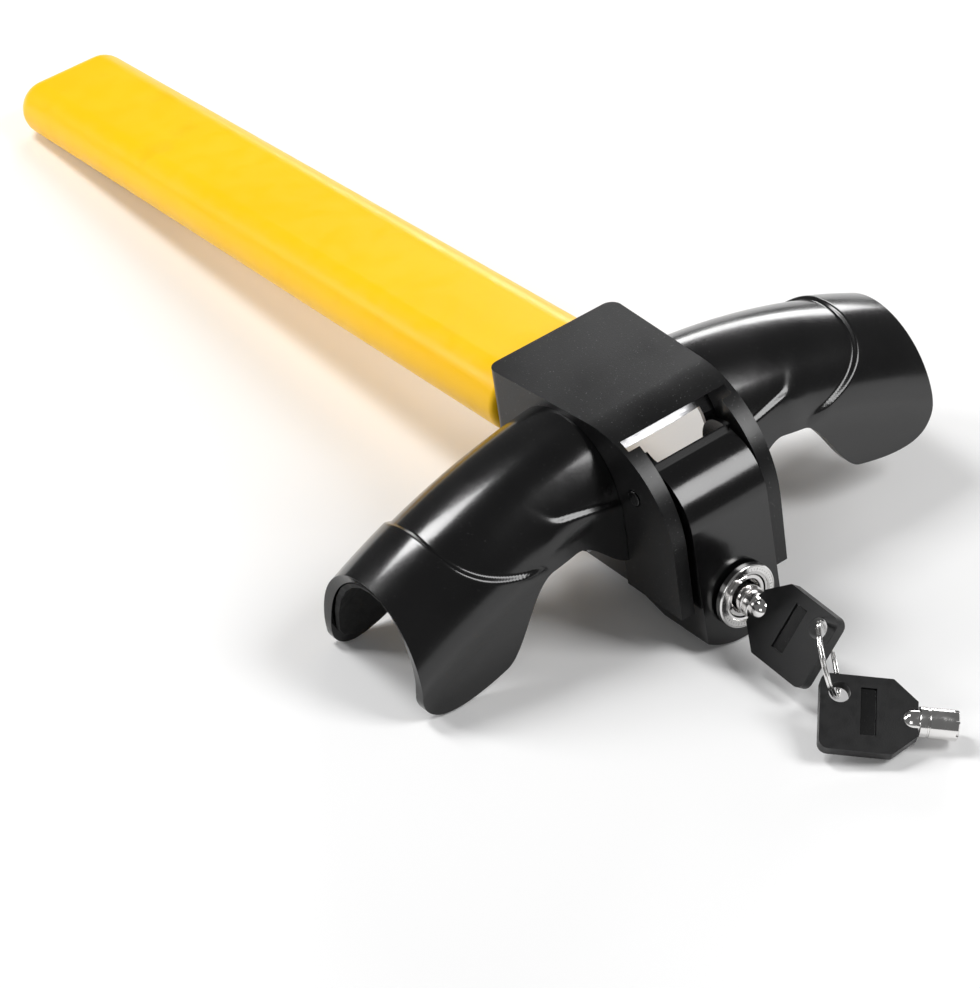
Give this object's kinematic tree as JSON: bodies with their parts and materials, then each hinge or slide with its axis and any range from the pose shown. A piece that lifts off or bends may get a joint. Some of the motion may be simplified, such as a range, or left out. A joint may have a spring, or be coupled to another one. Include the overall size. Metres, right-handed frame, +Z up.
{
  "type": "steering wheel lock",
  "caption": "Clamp with a curved saddle that grips the top of a steering wheel's rim, a hinged jaw locked by a tubular key, and a long padded bar that reaches over the dashboard.",
  "frame": {"origin": "middle of the rim pad's flat underside, where the top of a steering wheel's rim seats", "axes": "the lock as it lies on a table: +Z up, +Y towards the bar's free end, +X to the right of a driver who looks along the bar"},
  "size_m": [0.205, 0.4599, 0.0718],
  "materials": {
    "satin_black_steel": "satin black powder coat",
    "gloss_black_steel": "gloss black paint",
    "yellow_sleeve": "smooth yellow foam rubber with a satin skin",
    "chrome": "bright plating",
    "plain_steel": "plain",
    "brass": "plain",
    "black_rubber": "matt",
    "black_plastic": "satin"
  },
  "bodies": {
    "saddle_and_bar": {"cover_shell": "satin_black_steel", "saddle_left": "gloss_black_steel", "saddle_right": "gloss_black_steel", "rim_channel": "plain_steel", "liner_left": "black_rubber", "liner_right": "black_rubber", "rim_pad": "black_rubber", "bar_core": "plain_steel", "bar_sleeve": "yellow_sleeve", "bar_spigot": "plain_steel", "bar_end_plug": "black_plastic", "bar_bracket": "plain_steel", "bar_rivet_front": "plain_steel", "bar_rivet_rear": "plain_steel", "pivot_pin": "gloss_black_steel", "jaw_spring": "plain_steel"},
    "jaw": {"jaw_shell": "gloss_black_steel", "jaw_cradle": "plain_steel", "jaw_pad": "black_rubber", "pivot_bush_left": "brass", "pivot_bush_right": "brass", "lock_body": "plain_steel", "lock_escutcheon": "chrome", "lock_nut": "plain_steel"},
    "plug": {"lock_plug": "chrome", "drive_pinion": "brass", "tumbler_pin_1": "brass", "tumbler_pin_2": "brass", "tumbler_pin_3": "brass", "tumbler_pin_4": "brass", "tumbler_pin_5": "brass", "tumbler_pin_6": "brass", "tumbler_pin_7": "brass"},
    "bolt": {"deadbolt": "plain_steel"},
    "key": {"key_barrel": "chrome", "key_bow": "black_plastic"},
    "ring": {"key_ring": "chrome"},
    "spare_key": {"spare_key_barrel": "chrome", "spare_key_bow": "black_plastic"}
  },
  "joints": [
    {"name": "jaw_hinge", "type": "hinge", "parent": "saddle_and_bar", "child": "jaw", "pos_m": [0.00088, -0.03193, -0.00711], "axis": [-0.9964, -0.0089, -0.0837], "range_deg": [0, 95]},
    {"name": "plug_turn", "type": "hinge", "parent": "jaw", "child": "plug", "pos_m": [0.00408, -0.0449, -0.04381], "axis": [0, 0.9944, -0.1061], "range_deg": [0, 90]},
    {"name": "bolt_slide", "type": "slide", "parent": "jaw", "child": "bolt", "axis": [0.9964, 0.0089, 0.0837], "range_m": [0, 0.0065]},
    {"name": "key_pull", "type": "slide", "parent": "plug", "child": "key", "axis": [0, -0.9944, 0.1061], "range_m": [0, 0.03]},
    {"name": "ring_swing", "type": "hinge", "parent": "key", "child": "ring", "pos_m": [0.00821, -0.08599, -0.03841], "axis": [-0.7994, -0.0175, 0.6005], "range_deg": [-8, 8]},
    {"name": "spare_key_swing", "type": "hinge", "parent": "ring", "child": "spare_key", "pos_m": [-0.00017, -0.10391, -0.04734], "axis": [0.1878, 0.3755, -0.9076], "range_deg": [-12, 12]}
  ],
  "couplings": [
    {"joint": "bolt_slide", "follows": "plug_turn", "m_per_rad": 0.004}
  ]
}
